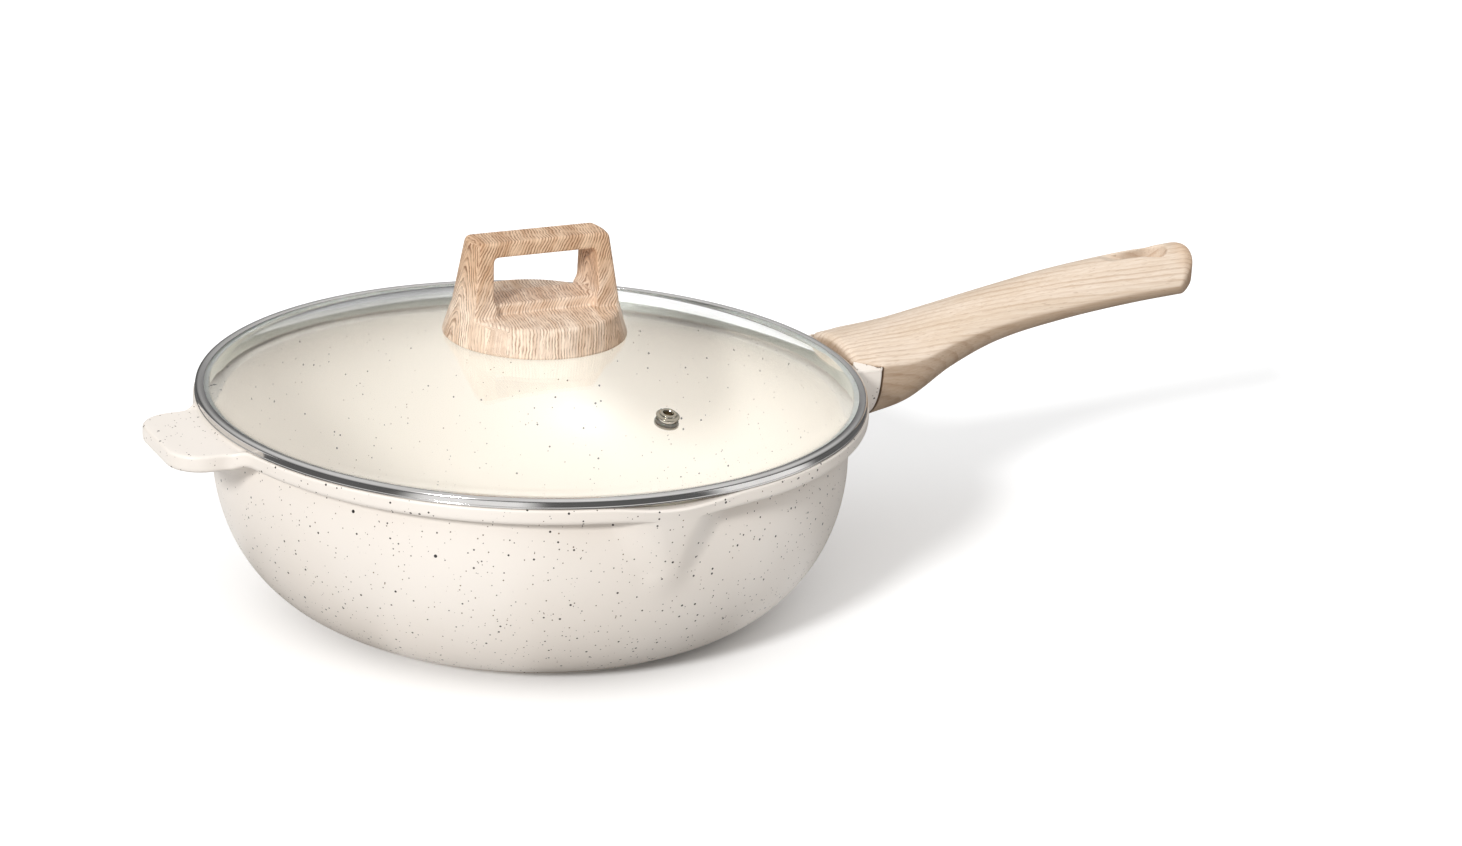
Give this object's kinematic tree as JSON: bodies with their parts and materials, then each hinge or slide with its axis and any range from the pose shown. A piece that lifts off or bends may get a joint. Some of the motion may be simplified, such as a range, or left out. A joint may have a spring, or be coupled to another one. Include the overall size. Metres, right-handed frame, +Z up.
{
  "type": "saucepan with glass lid",
  "caption": "Deep coated pan with pouring spouts, a cast helper handle, a long wood-look handle with a hanging hole, and a lift-off domed glass lid with steel band, vent and bridge knob.",
  "frame": {"origin": "on the ground under the pan's axis, at the centre of the base's standing face", "axes": "+Z up, +X along the main handle from the pan's axis, -X towards the helper handle, -Y and +Y towards the pouring spouts"},
  "size_m": [0.5028, 0.292, 0.1632],
  "materials": {
    "coating": "satin ivory stone-look coating with sparse dark specks",
    "steel": "polished stainless steel",
    "plate": "turned stainless steel with fine rings",
    "handle_wood": "soft-touch plastic printed with pale straight wood grain",
    "knob_wood": "soft-touch plastic printed with warm fine wood grain",
    "glass": "clear tempered glass, faintly grey-green in its thickness",
    "silicone": "matt translucent white silicone",
    "brass": "machined brass"
  },
  "bodies": {
    "pan": {"pan_body": "coating", "induction_plate": "plate", "main_handle": "handle_wood", "handle_flat_washer": "steel", "handle_spring_washer": "steel", "handle_screw": "steel"},
    "lid": {"lid_glass": "glass", "lid_band": "steel", "knob": "knob_wood", "knob_gasket_upper": "silicone", "knob_sleeve": "silicone", "knob_insert": "brass", "knob_gasket_lower": "silicone", "knob_cup_washer": "steel", "knob_spring_washer": "steel", "knob_screw": "steel", "vent_eyelet": "steel", "vent_sleeve": "silicone", "vent_gasket": "silicone", "vent_collar": "steel"}
  },
  "joints": [
    {"name": "lid_lift", "type": "slide", "parent": "pan", "child": "lid", "axis": [0, 0, 1], "range_m": [0, 0.15]}
  ]
}
